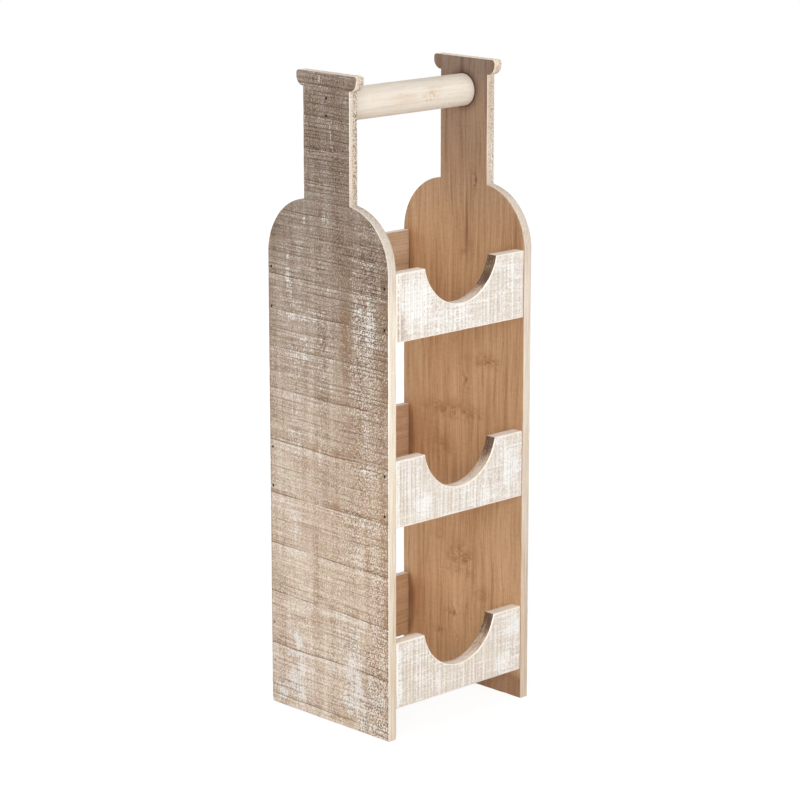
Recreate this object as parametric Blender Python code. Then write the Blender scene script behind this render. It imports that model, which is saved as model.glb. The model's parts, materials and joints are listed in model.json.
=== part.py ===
# Wooden wine rack for three bottles, carried by a dowel handle.
# Two side panels are sawn to a bottle's outline. Three scooped rails join them at the front
# and three at the back, and every rail end and handle end is held by two sunk brads.
# Units are metres, +Z is up, the front faces -Y, and the rack stands centred on the origin.

from math import asin, cos, pi, radians, sin, sqrt

import bmesh
import bpy

# Overall sizes
RACK_HEIGHT = 0.600
RACK_WIDTH = 0.182
RACK_DEPTH = 0.158

# Side panels
PANEL_THICKNESS = 0.010
SHOULDER_RADIUS = 0.056
NECK_LENGTH = 0.115
NECK_WIDTH = 0.060
LIP_WIDTH = 0.078
LIP_HEIGHT = 0.014
LIP_CORNER_RADIUS = 0.003

# Rails
TOP_RAIL_DROP = 0.055
BOTTOM_RAIL_GAP = 0.029
RAIL_HEIGHT = 0.062
FRONT_RAIL_THICKNESS = 0.012
BACK_RAIL_THICKNESS = 0.008
SCOOP_WIDTH = 0.090
SCOOP_DEPTH = 0.037

# Handle
HANDLE_DIAMETER = 0.030
HANDLE_DROP = 0.030

# Brads
BRAD_LENGTH = 0.025
BRAD_SHANK_DIAMETER = 0.0013
BRAD_HEAD_DIAMETER = 0.0018
BRAD_HEAD_THICKNESS = 0.0008
BRAD_POINT_LENGTH = 0.0025
BRAD_POINT_DIAMETER = 0.0003
BRAD_SET_DEPTH = 0.0012
RAIL_BRAD_INSET = 0.0125
FRONT_BRAD_FACE_INSET = 0.005
BACK_BRAD_FACE_INSET = 0.004
HANDLE_BRAD_SPACING = 0.0155

# Fits and finish
CLEARANCE = 0.0003
EASED_EDGE = 0.0006
CUT_OVERRUN = 0.002

# Facets
SHOULDER_STEPS = 12
LIP_UNDERSIDE_STEPS = 5
LIP_CORNER_STEPS = 3
SCOOP_STEPS = 20
HANDLE_SIDES = 32
BRAD_SIDES = 8
SMOOTH_ANGLE = radians(32)

# Colour (linear), roughness and metallic value of each kind of piece
PANEL_FINISH = ((0.36, 0.26, 0.18), 0.78, 0.0)
FRONT_RAIL_FINISH = ((0.72, 0.64, 0.54), 0.75, 0.0)
BACK_RAIL_FINISH = ((0.45, 0.29, 0.17), 0.70, 0.0)
HANDLE_FINISH = ((0.80, 0.70, 0.56), 0.55, 0.0)
BRAD_FINISH = ((0.30, 0.29, 0.28), 0.45, 1.0)

QUARTER_TURN = pi / 2
SIDES = (("left", -1), ("right", 1))
RAIL_ROWS = ("top", "middle", "bottom")
HALF_INSIDE = RACK_WIDTH / 2 - PANEL_THICKNESS

# Levels above the floor: the handle and the neck hang from the rack's top, the top rail
# hangs from the neck's base, and the rows between it and the bottom rail are evenly spaced
HANDLE_LEVEL = RACK_HEIGHT - HANDLE_DROP
NECK_BASE_LEVEL = RACK_HEIGHT - NECK_LENGTH
TOP_RAIL_LEVEL = NECK_BASE_LEVEL - TOP_RAIL_DROP
BOTTOM_RAIL_LEVEL = BOTTOM_RAIL_GAP + RAIL_HEIGHT
RAIL_PITCH = (TOP_RAIL_LEVEL - BOTTOM_RAIL_LEVEL) / (len(RAIL_ROWS) - 1)


# Outlines

def arc(centre, radius, start, end, steps):
    # Points along a circular arc, both ends included
    angles = [start + (end - start) * step / steps for step in range(steps + 1)]
    return [(centre[0] + radius * cos(a), centre[1] + radius * sin(a)) for a in angles]


def bottle_outline():
    # One half of the bottle from its foot up to its lip, then the same points mirrored
    half_depth = RACK_DEPTH / 2
    half_neck = NECK_WIDTH / 2
    half_lip = LIP_WIDTH / 2
    overhang = half_lip - half_neck
    lip_underside = RACK_HEIGHT - LIP_HEIGHT
    corner_centre = (half_lip - LIP_CORNER_RADIUS, RACK_HEIGHT - LIP_CORNER_RADIUS)

    # The shoulder leaves the body's edge as a tangent arc and ends where it meets the neck
    shoulder_centre = half_depth - SHOULDER_RADIUS
    reach = max(half_neck - shoulder_centre, 0)
    spring_level = NECK_BASE_LEVEL - sqrt(SHOULDER_RADIUS ** 2 - reach ** 2)
    meeting_angle = QUARTER_TURN - asin(reach / SHOULDER_RADIUS)

    half = [(half_depth, 0)]
    half += arc((shoulder_centre, spring_level), SHOULDER_RADIUS, 0, meeting_angle, SHOULDER_STEPS)
    if half[-1][0] > half_neck + CLEARANCE:
        half.append((half_neck, NECK_BASE_LEVEL))
    half += arc((half_neck, lip_underside + overhang), overhang, -QUARTER_TURN, 0, LIP_UNDERSIDE_STEPS)
    half += arc(corner_centre, LIP_CORNER_RADIUS, 0, QUARTER_TURN, LIP_CORNER_STEPS)
    return half + [(-across, up) for across, up in reversed(half)]


def rail_outline():
    # A board with its top edge at zero and a round scoop sawn out of the middle of that edge
    half_length = HALF_INSIDE - CLEARANCE
    half_scoop = SCOOP_WIDTH / 2
    radius = (half_scoop ** 2 + SCOOP_DEPTH ** 2) / (2 * SCOOP_DEPTH)
    centre_level = radius - SCOOP_DEPTH
    rise = asin(centre_level / radius)
    board = [(-half_length, 0), (-half_length, -RAIL_HEIGHT), (half_length, -RAIL_HEIGHT), (half_length, 0)]
    return board + arc((0, centre_level), radius, -rise, rise - pi, SCOOP_STEPS)


# Pieces and cutters

def clear_scene():
    for item in list(bpy.data.objects):
        bpy.data.objects.remove(item, do_unlink=True)


def finish_material(name, finish):
    colour, roughness, metallic = finish
    material = bpy.data.materials.new(name)
    material.use_nodes = True
    shader = material.node_tree.nodes["Principled BSDF"]
    shader.inputs["Base Color"].default_value = (*colour, 1)
    shader.inputs["Roughness"].default_value = roughness
    shader.inputs["Metallic"].default_value = metallic
    material.diffuse_color = (*colour, 1)
    return material


def new_mesh(name, bm):
    bmesh.ops.recalc_face_normals(bm, faces=bm.faces)
    mesh = bpy.data.meshes.new(name)
    bm.to_mesh(mesh)
    bm.free()
    mesh.shade_smooth()
    mesh.set_sharp_from_angle(angle=SMOOTH_ANGLE)
    return mesh


def place_mesh(name, mesh, parent, location, rotation):
    item = bpy.data.objects.new(name, mesh)
    bpy.context.collection.objects.link(item)
    item.parent = parent
    item.location = location
    item.rotation_euler = rotation
    return item


def ease_edges(item):
    bevel = item.modifiers.new("eased_edges", "BEVEL")
    bevel.width = EASED_EDGE
    bevel.segments = 1
    bevel.limit_method = "ANGLE"
    bevel.angle_limit = SMOOTH_ANGLE


def drill(item, cutters):
    for cutter in cutters:
        cut = item.modifiers.new(cutter.name, "BOOLEAN")
        cut.operation = "DIFFERENCE"
        cut.solver = "EXACT"
        cut.object = cutter


def board(name, outline, thickness, parent, location, rotation, finish):
    # The outline lies in the local XY plane and the board's thickness is centred on it
    bm = bmesh.new()
    face = bm.faces.new([bm.verts.new((across, up, -thickness / 2)) for across, up in outline])
    grown = bmesh.ops.extrude_face_region(bm, geom=[face])["geom"]
    far_side = [vertex for vertex in grown if isinstance(vertex, bmesh.types.BMVert)]
    bmesh.ops.translate(bm, verts=far_side, vec=(0, 0, thickness))
    mesh = new_mesh(name, bm)
    mesh.materials.append(finish_material(name + "_finish", finish))
    item = place_mesh(name, mesh, parent, location, rotation)
    ease_edges(item)
    return item


def turned_mesh(name, profile, sides):
    # A closed solid of revolution about the local Z axis, from (radius, z) points
    bm = bmesh.new()
    angles = [2 * pi * side / sides for side in range(sides)]
    rings = []
    for radius, level in profile:
        rings.append([bm.verts.new((radius * cos(a), radius * sin(a), level)) for a in angles])
    for lower, upper in zip(rings, rings[1:]):
        for side in range(sides):
            after = (side + 1) % sides
            bm.faces.new((lower[side], lower[after], upper[after], upper[side]))
    bm.faces.new(rings[0])
    bm.faces.new(rings[-1])
    return new_mesh(name, bm)


def handle(parent):
    half_length = HALF_INSIDE - CLEARANCE
    radius = HANDLE_DIAMETER / 2
    mesh = turned_mesh("handle_dowel", [(radius, -half_length), (radius, half_length)], HANDLE_SIDES)
    mesh.materials.append(finish_material("handle_dowel_finish", HANDLE_FINISH))
    item = place_mesh("handle_dowel", mesh, parent, (0, 0, HANDLE_LEVEL), (0, QUARTER_TURN, 0))
    ease_edges(item)
    return item


def brad_mesh():
    # The head's outer face is at zero and the point is at the far end
    head = BRAD_HEAD_DIAMETER / 2
    shank = BRAD_SHANK_DIAMETER / 2
    profile = [
        (head, 0),
        (head, BRAD_HEAD_THICKNESS),
        (shank, BRAD_HEAD_THICKNESS),
        (shank, BRAD_LENGTH - BRAD_POINT_LENGTH),
        (BRAD_POINT_DIAMETER / 2, BRAD_LENGTH),
    ]
    mesh = turned_mesh("brad", profile, BRAD_SIDES)
    mesh.materials.append(finish_material("brad_finish", BRAD_FINISH))
    return mesh


def hole_mesh():
    # The hole that a brad sits in: its head is sunk, and the hole stays open above it
    head = BRAD_HEAD_DIAMETER / 2 + CLEARANCE
    shank = BRAD_SHANK_DIAMETER / 2 + CLEARANCE
    step_level = BRAD_HEAD_THICKNESS + CLEARANCE
    profile = [
        (head, -BRAD_SET_DEPTH - CUT_OVERRUN),
        (head, step_level),
        (shank, step_level),
        (shank, BRAD_LENGTH + CLEARANCE),
    ]
    return turned_mesh("brad_hole", profile, BRAD_SIDES)


def brad_pair(joint, spacing, meshes, parent, side, across, level):
    # Two brads one above the other through a panel, and the cutters for their holes
    cutters = []
    for place, shift in (("upper", spacing / 2), ("lower", -spacing / 2)):
        location = (side * (RACK_WIDTH / 2 - BRAD_SET_DEPTH), across, level + shift)
        rotation = (0, -side * QUARTER_TURN, 0)
        place_mesh(f"brad_{joint}_{place}", meshes["brad"], parent, location, rotation)
        cutter = place_mesh(f"hole_{joint}_{place}", meshes["hole"], parent, location, rotation)
        cutter.hide_render = True
        cutter.display_type = "WIRE"
        cutters.append(cutter)
    return cutters


def build_rack():
    clear_scene()
    rack = bpy.data.objects.new("wine_rack", None)
    bpy.context.collection.objects.link(rack)
    meshes = {"brad": brad_mesh(), "hole": hole_mesh()}
    panel_holes = {name: [] for name, _ in SIDES}

    rails = (
        ("front", -1, FRONT_RAIL_THICKNESS, FRONT_BRAD_FACE_INSET, FRONT_RAIL_FINISH),
        ("back", 1, BACK_RAIL_THICKNESS, BACK_BRAD_FACE_INSET, BACK_RAIL_FINISH),
    )
    spacing = RAIL_HEIGHT - 2 * RAIL_BRAD_INSET
    for place, facing, thickness, brad_inset, finish in rails:
        across = facing * (RACK_DEPTH - thickness) / 2
        brad_line = facing * (RACK_DEPTH / 2 - brad_inset)
        for row, row_name in enumerate(RAIL_ROWS):
            level = TOP_RAIL_LEVEL - row * RAIL_PITCH
            rail = board(f"{place}_rail_{row_name}", rail_outline(), thickness, rack,
                         (0, across, level), (QUARTER_TURN, 0, 0), finish)
            for side_name, side in SIDES:
                holes = brad_pair(f"{place}_{row_name}_{side_name}", spacing, meshes, rack, side,
                                  brad_line, level - RAIL_HEIGHT / 2)
                drill(rail, holes)
                panel_holes[side_name] += holes

    dowel = handle(rack)
    for side_name, side in SIDES:
        holes = brad_pair(f"handle_{side_name}", HANDLE_BRAD_SPACING, meshes, rack, side, 0, HANDLE_LEVEL)
        drill(dowel, holes)
        panel_holes[side_name] += holes

    for side_name, side in SIDES:
        middle = side * (RACK_WIDTH - PANEL_THICKNESS) / 2
        panel = board(f"{side_name}_side_panel", bottle_outline(), PANEL_THICKNESS, rack,
                      (middle, 0, 0), (QUARTER_TURN, 0, QUARTER_TURN), PANEL_FINISH)
        drill(panel, panel_holes[side_name])


build_rack()
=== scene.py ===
import json
from math import asin, cos, hypot, pi, radians, sin, sqrt

import bmesh
import bpy
import mathutils
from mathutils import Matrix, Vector
from mathutils.geometry import delaunay_2d_cdt

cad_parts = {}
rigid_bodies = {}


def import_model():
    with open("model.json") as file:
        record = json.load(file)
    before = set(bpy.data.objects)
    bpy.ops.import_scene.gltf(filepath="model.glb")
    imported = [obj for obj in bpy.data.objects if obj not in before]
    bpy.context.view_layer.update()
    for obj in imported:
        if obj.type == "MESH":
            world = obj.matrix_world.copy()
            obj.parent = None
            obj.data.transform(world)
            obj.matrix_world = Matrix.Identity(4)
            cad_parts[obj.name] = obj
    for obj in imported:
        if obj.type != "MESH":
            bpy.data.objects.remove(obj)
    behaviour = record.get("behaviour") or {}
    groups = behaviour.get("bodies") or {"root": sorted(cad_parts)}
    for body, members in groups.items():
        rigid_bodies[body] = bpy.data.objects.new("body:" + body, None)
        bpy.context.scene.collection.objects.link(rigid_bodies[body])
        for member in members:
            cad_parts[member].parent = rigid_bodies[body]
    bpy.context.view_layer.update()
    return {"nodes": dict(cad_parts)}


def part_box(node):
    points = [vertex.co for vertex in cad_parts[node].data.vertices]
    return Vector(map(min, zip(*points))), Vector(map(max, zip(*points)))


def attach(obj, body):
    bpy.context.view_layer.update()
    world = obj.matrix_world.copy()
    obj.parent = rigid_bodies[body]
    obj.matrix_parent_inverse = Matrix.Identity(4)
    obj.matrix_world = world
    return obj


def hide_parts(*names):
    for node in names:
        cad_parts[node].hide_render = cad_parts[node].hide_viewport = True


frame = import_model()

# Wooden wine rack, dressed. Panels and rails keep one rough side from the band saw, whitewashed and
# rubbed back, and one planed brown side. Sizes are in metres, finishes read millimetres.

toMillimetres = 1000
print("frame loaded,", len(frame["nodes"]), "nodes")


# trees of nodes

def mathNode(operation, turned=False):
    # a method by which a sum on a Wire adds a Math node to its tree
    def add(wire, other):
        values = (other, wire) if turned else (wire, other)
        return wire.bench.math(operation, *values)
    return add


class Wire:
    # an output socket
    def __init__(self, bench, socket):
        self.bench, self.socket = bench, socket

    __add__, __radd__ = mathNode("ADD"), mathNode("ADD", True)
    __sub__, __rsub__ = mathNode("SUBTRACT"), mathNode("SUBTRACT", True)
    __mul__, __rmul__ = mathNode("MULTIPLY"), mathNode("MULTIPLY", True)
    __truediv__ = mathNode("DIVIDE")

    def fade(self, start, end, low=0.0, high=1.0):
        # eased from low at start to high at end, and held outside them without a clamp
        return self.bench.add("ShaderNodeMapRange", {"interpolation_type": "SMOOTHSTEP", "clamp": False}, {
            "Value": self, "From Min": start, "From Max": end, "To Min": low, "To Max": high})


class Bench:
    # one node tree, and the few ways in which nodes are put into it
    def __init__(self, tree):
        self.tree = tree

    def add(self, kind, settings=None, inputs=None, out=0):
        node = self.tree.nodes.new(kind)
        for name, value in (settings or {}).items():
            if name == "stops":
                ramp = node.color_ramp.elements
                while len(ramp) < len(value):
                    ramp.new(1.0)
                for stop, (place, colour) in zip(ramp, value):
                    stop.position, stop.color = place, (*colour, 1)
            else:
                setattr(node, name, value)
        for name, value in (inputs or {}).items():
            socket = self.find(node.inputs, name)
            if isinstance(value, Wire):
                self.tree.links.new(value.socket, socket)
            else:
                socket.default_value = (*value, 1) if socket.type == "RGBA" else value
        return Wire(self, self.find(node.outputs, out)) if len(node.outputs) else node

    def find(self, sockets, name):
        if isinstance(name, int):
            return sockets[name]
        return next((s for s in sockets if s.identifier == name), None) or sockets[name]

    def math(self, operation, *values):
        return self.add("ShaderNodeMath", {"operation": operation}, dict(enumerate(values)))

    def vectorMath(self, operation, first, second=None, out=0):
        inputs = {0: first} if second is None else {0: first, 1: second}
        return self.add("ShaderNodeVectorMath", {"operation": operation}, inputs, out)

    def most(self, *values):
        total = values[0]
        for value in values[1:]:
            total = self.math("MAXIMUM", total, value)
        return total

    def vector(self, x=0.0, y=0.0, z=0.0):
        return self.add("ShaderNodeCombineXYZ", None, {"X": x, "Y": y, "Z": z})

    def split(self, vector):
        first = self.add("ShaderNodeSeparateXYZ", None, {"Vector": vector})
        return [Wire(self, socket) for socket in first.socket.node.outputs]

    def place(self):
        # millimetres from the rack's foot
        corner = self.add("ShaderNodeTexCoord", None, None, "Object")
        return [axis * toMillimetres for axis in self.split(corner)]

    def noise(self, x=0.0, y=0.0, z=0.0, detail=1.0, roughness=0.5):
        return self.add("ShaderNodeTexNoise", None, {
            "Vector": self.vector(x, y, z), "Scale": 1.0, "Detail": detail, "Roughness": roughness})

    def mix(self, amount, first, second, blend="MIX"):
        return self.add("ShaderNodeMix", {"data_type": "RGBA", "blend_type": blend},
                        {"Factor_Float": amount, "A_Color": first, "B_Color": second}, "Result_Color")

    def cover(self, colour, look, blend="MIX", **amounts):
        # colours of a look laid over one another, each by its amount
        for name, amount in amounts.items():
            colour = self.mix(amount, colour, look[name], blend)
        return colour

    def ramp(self, value, *stops):
        return self.add("ShaderNodeValToRGB", {"stops": stops}, {"Fac": value})


def tint(red, green, blue):
    # a colour as it looks on a screen, made linear
    return tuple(((level / 255 + 0.055) / 1.055) ** 2.4 for level in (red, green, blue))


def makeLook(base, colours, **rest):
    # a look from another look, colours as they look on a screen, and whatever else differs
    return {**base, **{name: tint(*colour) for name, colour in colours.items()}, **rest}


class Finish(Bench):
    # a material's tree, and where a point lies along the grain, across it and through the board
    def __init__(self, name, grain="z"):
        self.material = bpy.data.materials.new(name)
        self.material.use_nodes = True
        super().__init__(self.material.node_tree)
        self.tree.nodes.clear()
        x, y, z = self.place()
        self.along, self.across, self.through = (z, y, x) if grain == "z" else (x, z, y)

    def axes(self):
        return self.along, self.across, self.through

    def spots(self, places, outer, inner, up=0.0, aside=0.0):
        # soft ovals: (across, along, half width, half height, strength), in millimetres
        total = 0.0
        spot = self.vector(self.across + aside, self.along + up)
        for middle, height, halfWidth, halfHeight, strength in places:
            apart = self.vectorMath("SUBTRACT", spot, (middle, height, 0))
            apart = self.vectorMath("MULTIPLY", apart, (1 / halfWidth, 1 / halfHeight, 0))
            reach = self.vectorMath("LENGTH", apart, out="Value")
            # each oval joins the total at once, because a shader that holds too many values renders black
            total = self.math("MAXIMUM", total, reach.fade(outer, inner, 0.0, strength))
        return total

    def toned(self, colour, look):
        # slow changes of tone along and across the board: (start, end, factor that is reached at the end)
        for place, tones in ((self.along, look["tones"]), (self.across, look["sides"])):
            for start, end, tone in tones:
                colour = self.mix(place.fade(start, end), colour, tone, "MULTIPLY")
        return colour

    def close(self, colour, roughness, height, depth, metallic=0.0, specular=0.25):
        bump = self.add("ShaderNodeBump", None, {"Strength": 1.0, "Distance": depth, "Height": height},
                        "Normal")
        shader = self.add("ShaderNodeBsdfPrincipled", None, {
            "Base Color": colour, "Roughness": roughness, "Normal": bump, "Metallic": metallic,
            "Specular IOR Level": specular})
        self.add("ShaderNodeOutputMaterial", None, {"Surface": shader})
        return self.material


# camera and light

camera = {"azimuth": -44.034, "elevation": 13.557, "distance": 2.70726, "lens": 132.058, "sensor": 36,
          "target": (-0.00023, 0.0, 0.28990), "near": 0.05, "far": 50}
light = {
    # the reach of the shadow is in millimetres, all else here in metres
    "world": 0.33,
    "lamps": (
        # name, place, aim, width, height, watts, colour
        ("keyLamp", (0.7, -2.3, 1.3), (0.0, 0.0, 0.3), 1.6, 1.4, 16.4, (1.0, 0.985, 0.96)),
        ("frontLamp", (-2.0, -1.9, 1.0), (0.0, 0.0, 0.28), 1.4, 1.4, 34.0, (1.0, 0.99, 0.975)),
        ("topLamp", (-0.6, -0.2, 2.3), (0.0, 0.0, 0.3), 1.4, 1.4, 11.0, (1.0, 1.0, 1.0)),
        ("sideLamp", (-1.5, -0.5, 0.25), (0.0, 0.0, 0.1), 0.9, 0.6, 4.0, (1.0, 0.97, 0.93)),
        ("backLamp", (-1.3, 2.1, 0.7), (0.08, 0.0, 0.25), 1.2, 1.2, 9.0, (1.0, 0.99, 0.98)),
        ("rearLamp", (1.9, 2.0, 0.9), (0.0, 0.0, 0.28), 1.4, 1.4, 19.0, (1.0, 0.99, 0.98)),
        ("endLamp", (2.4, 0.1, 0.7), (0.09, 0.0, 0.3), 1.2, 1.2, 14.0, (1.0, 0.99, 0.98)),
    ),
    "floorColour": 0.80, "floorWhite": 1.08, "floorRadius": 3.0, "floorSides": 64, "floorDrop": 0.0003,
    "shadowKept": 0.15, "shadowReach": (450, 1000),
}


def setCamera():
    azimuth, elevation = radians(camera["azimuth"]), radians(camera["elevation"])
    back = Vector((sin(azimuth) * cos(elevation), -cos(azimuth) * cos(elevation), sin(elevation)))
    view = bpy.data.cameras.new("camera")
    view.sensor_width, view.lens = camera["sensor"], camera["lens"]
    view.clip_start, view.clip_end = camera["near"], camera["far"]
    item = bpy.data.objects.new("camera", view)
    bpy.context.collection.objects.link(item)
    item.location = Vector(camera["target"]) + back * camera["distance"]
    item.rotation_euler = (-back).to_track_quat("-Z", "Y").to_euler()
    bpy.context.scene.camera = item


def setLight():
    world = bpy.data.worlds.new("studio")
    bpy.context.scene.world = world
    world.use_nodes = True
    world.node_tree.nodes.clear()
    bench = Bench(world.node_tree)
    seen = seenDirectly(bench)
    strength = seen * (1 - light["world"]) + light["world"]
    sky = bench.add("ShaderNodeBackground", None, {"Color": (1, 1, 1), "Strength": strength})
    bench.add("ShaderNodeOutputWorld", None, {"Surface": sky})
    for name, place, aim, width, height, watts, colour in light["lamps"]:
        lamp = bpy.data.lights.new(name, "AREA")
        lamp.shape, lamp.size, lamp.size_y = "RECTANGLE", width, height
        lamp.energy, lamp.color = watts, colour
        item = bpy.data.objects.new(name, lamp)
        bpy.context.collection.objects.link(item)
        item.location = place
        item.rotation_euler = (Vector(aim) - Vector(place)).to_track_quat("-Z", "Y").to_euler()
        item.visible_camera = item.visible_glossy = False


def seenDirectly(bench):
    # 1 for rays from the camera, and for those it gets through gloss or glass
    rays = bench.add("ShaderNodeLightPath").socket.node.outputs
    return bench.most(*(Wire(bench, rays[f"Is {kind} Ray"]) for kind in ("Camera", "Glossy", "Transmission")))


def setFloor():
    mesh = bpy.data.meshes.new("floor")
    bm = bmesh.new()
    bmesh.ops.create_circle(bm, cap_ends=True, segments=light["floorSides"], radius=light["floorRadius"])
    bm.to_mesh(mesh)
    bm.free()
    item = bpy.data.objects.new("floor", mesh)
    bpy.context.collection.objects.link(item)
    item.location.z = -light["floorDrop"]
    bench = Finish("paleFloor")
    _, y, x = bench.axes()
    far = bench.math("SQRT", x * x + y * y)
    near = far.fade(*light["shadowReach"], 1.0, 0.0)
    matt = bench.add("ShaderNodeBsdfDiffuse", None, {"Color": (light["floorColour"],) * 3})
    white = bench.add("ShaderNodeEmission", None, {"Color": (1, 1, 1), "Strength": light["floorWhite"]})
    # the eye gets mostly plain white, and just enough of the lit floor to keep the shadow near the feet
    share = 1 - seenDirectly(bench) * (1 - near * light["shadowKept"])
    surface = bench.add("ShaderNodeMixShader", None, {0: share, 1: white, 2: matt})
    bench.add("ShaderNodeOutputMaterial", None, {"Surface": surface})
    mesh.materials.append(bench.material)


setCamera()
setLight()
setFloor()
print("camera, light and floor set")


# marks of the band saw, the same in the boards' relief and in their finish

def sawMarks(bench, along, across, saw):
    # Along and across the grain in millimetres. Each turn of the blade left a step; reached counts them, and
    # rise goes from 0 just past a step to 1 at the next.
    seed, steps = saw["seed"], saw["steps"]
    sway = (bench.noise(across * 0.013, along * 0.012, seed) - 0.5) * saw["sway"]
    level = along + across * saw["tilt"] + sway
    first, span, last = steps[0], steps[-1] - steps[0], len(steps) - 1
    stops = [((place - first) / span, (number / last,) * 3) for number, place in enumerate(steps)]
    reached = bench.ramp((level - first) / span, *stops) * last
    rise = bench.math("FRACT", reached)
    half = bench.math("FRACT", reached + 0.5)
    hold = bench.noise(across * 0.022, level * 0.04, seed + 3.7, 2.0)
    ragged = bench.noise(level * 0.11, across * 0.004, seed + 8.3)
    nick = bench.math("FRACT", reached * saw["nicks"] + ragged * 1.1)
    short = bench.noise(across * 0.022, level * 0.13, seed + 4.4, 2.0)
    onStep = rise.fade(*saw["lineWidth"]) * hold.fade(0.31, 0.57)
    between = half.fade(*saw["lineWidth"]) * hold.fade(0.56, 0.44) * 0.7
    return {
        "line": bench.most(onStep, between),
        "lift": rise.fade(0.74, 0.99) * hold.fade(0.25, 0.5),
        "shadeAboveStep": rise.fade(0.26, 0.0) * hold.fade(0.34, 0.60),
        "nick": nick.fade(saw["nickWidth"], 0.05) * short.fade(*saw["nickHold"]),
        "rib": bench.math("ABSOLUTE", bench.math("FRACT", nick + 0.37) - 0.5) * 2,
        "fine": bench.noise(across * 0.03, level / saw["finePitch"], seed + 1.3),
        "broad": bench.noise(across * 0.016, level / saw["broadPitch"], seed + 5.9),
    }


# finishes

def sawnFace(name, grain, saw, look):
    bench = Finish(name, grain)
    along, across, _ = bench.axes()
    seed = saw["seed"]
    marks = sawMarks(bench, along, across, saw)
    line, nick, lift, shadeAboveStep = marks["line"], marks["nick"], marks["lift"], marks["shadeAboveStep"]

    # small tears all over, thin fibres along the grain, lines of the teeth, and slow changes of tone
    worm = bench.noise(across / 1.25, along / 1.6, seed + 11)
    speck = bench.noise(across / 0.9, along / 0.9, seed + 14)
    pit = bench.noise(across / 0.9, along / 1.1, seed + 15)
    fibre = bench.noise(across / 1.1, along * 0.05, seed + 18, 2.0, 0.6)
    lane = bench.noise(across / look["laneWidth"], along / look["laneLength"], seed + 12, 2.0)
    cloud = bench.noise(across * 0.035, along * 0.02, seed + 13, 2.0)
    shift = bench.noise(across * 0.12, along * 0.07, seed + 16, 2.0) - 0.5
    cut = marks["fine"].fade(0.3, 0.7) * look["fineShare"]
    cut = cut + marks["broad"].fade(0.32, 0.68) * (1 - look["fineShare"])
    busy = bench.spots(look["busy"], 1.4, 0.6, 0.0, shift * 30) * 0.75 + 0.65
    grit = ((worm - 0.5) * 1.3 + (speck - 0.5) * 0.9) * busy * look["grit"]
    clouding = (cloud - 0.5) * look["cloudShade"]

    weave = 0.5 + grit + (fibre - 0.5) * look["fibreShade"] + (lane - 0.5) * look["laneShade"]
    ribbed = bench.spots(look["ribbed"], 1.4, 0.3, shift * 20)
    weave = weave + (marks["rib"] - 0.5) * ribbed + (cut - 0.5) * look["cutShade"] + clouding
    # the band just under each step is lighter and the zone above it darker: painted highlight and painted shade
    # of the step, beside the relief that the tree presses in
    weave = weave + (lift - shadeAboveStep * 1.2) * look["stepShade"]
    colour = bench.ramp(weave, (0.0, look["groove"]), (0.5, look["wood"]), (1.0, look["ridge"]))
    rose = bench.noise(across * 0.11, along * 0.07, seed + 17, 2.0)
    colour = bench.cover(colour, look, "MULTIPLY", rose=rose.fade(0.46, 0.62) * look["tints"],
                         straw=rose.fade(0.54, 0.38) * look["tints"])

    # stains and saw lines go dark, more so at the top where less was rubbed back
    stain = bench.spots(look["stains"], 1.6, 0.0, shift * 16, shift * 8)
    bare = along.fade(*look["bareRange"])
    line = line * (1 - bare * 0.35)
    nick = nick * along.fade(*look["nickRange"], 0.5, 1.2)
    broken = worm.fade(0.0, 1.0, *look["nickBreak"])
    colour = bench.cover(
        colour, look, stain=stain * (1.45 - weave) * (0.75 + shadeAboveStep * 0.3),
        line=line * look["lineShare"] * (0.5 + 0.8 * worm), nickTint=nick * look["nickShare"] * broken * busy)
    colour = bench.toned(colour, look)
    # darker in a thin band along the front and back edges of the face
    rim = bench.math("ABSOLUTE", across).fade(look["rim"] - 3.2, look["rim"] - 0.8)
    colour = bench.cover(colour, look, line=rim * (0.1 + fibre * 0.5))

    # wash that stayed on the ridges, in pores and in patches
    patch = bench.spots(look["patches"], 1.5, 0.15, shift * 20, shift * 9)
    grain = (worm - 0.5) * 1.2 + (fibre - 0.5) * 0.9 - (nick + line) * 0.4
    held = patch * (0.80 + grain * look["patchGrain"])
    held = held + (cut - 0.5) * look["cutPaint"] + (fibre - 0.5) * 0.8 + grit * 0.9 + clouding
    held = held - (line + nick) * 0.35 - stain * look["stainBare"] - bare * 0.16
    held = held + look["wash"] * (0.4 + 1.2 * cloud) + lane.fade(0.54, 0.68) * look["lanePaint"] + lift * 0.10
    paint = held.fade(0.22, 0.86) * look["paintShare"]
    flecks = worm.fade(0.58, 0.72) * (0.35 + 0.8 * lift + patch * 0.6) * busy
    flecks = flecks * along.fade(*look["fleckRange"], look["flecks"], 0.30)
    pits = pit.fade(0.37, 0.27) * look["pits"] * busy
    colour = bench.cover(colour, look, fleck=flecks, paint=paint, nickTint=nick * look["nickOver"] * broken,
                         pit=pits, bruise=bench.spots(look["bruises"], 1.4, 0.5))

    roughness = 0.86 - paint * 0.12 - weave * 0.06
    height = cut * 0.4 + worm * 0.5 + fibre * 0.2 + paint * 0.2 - pits * 0.5 - (line + nick) * 0.6
    return bench.close(colour, roughness, height, 0.00035)


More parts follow.
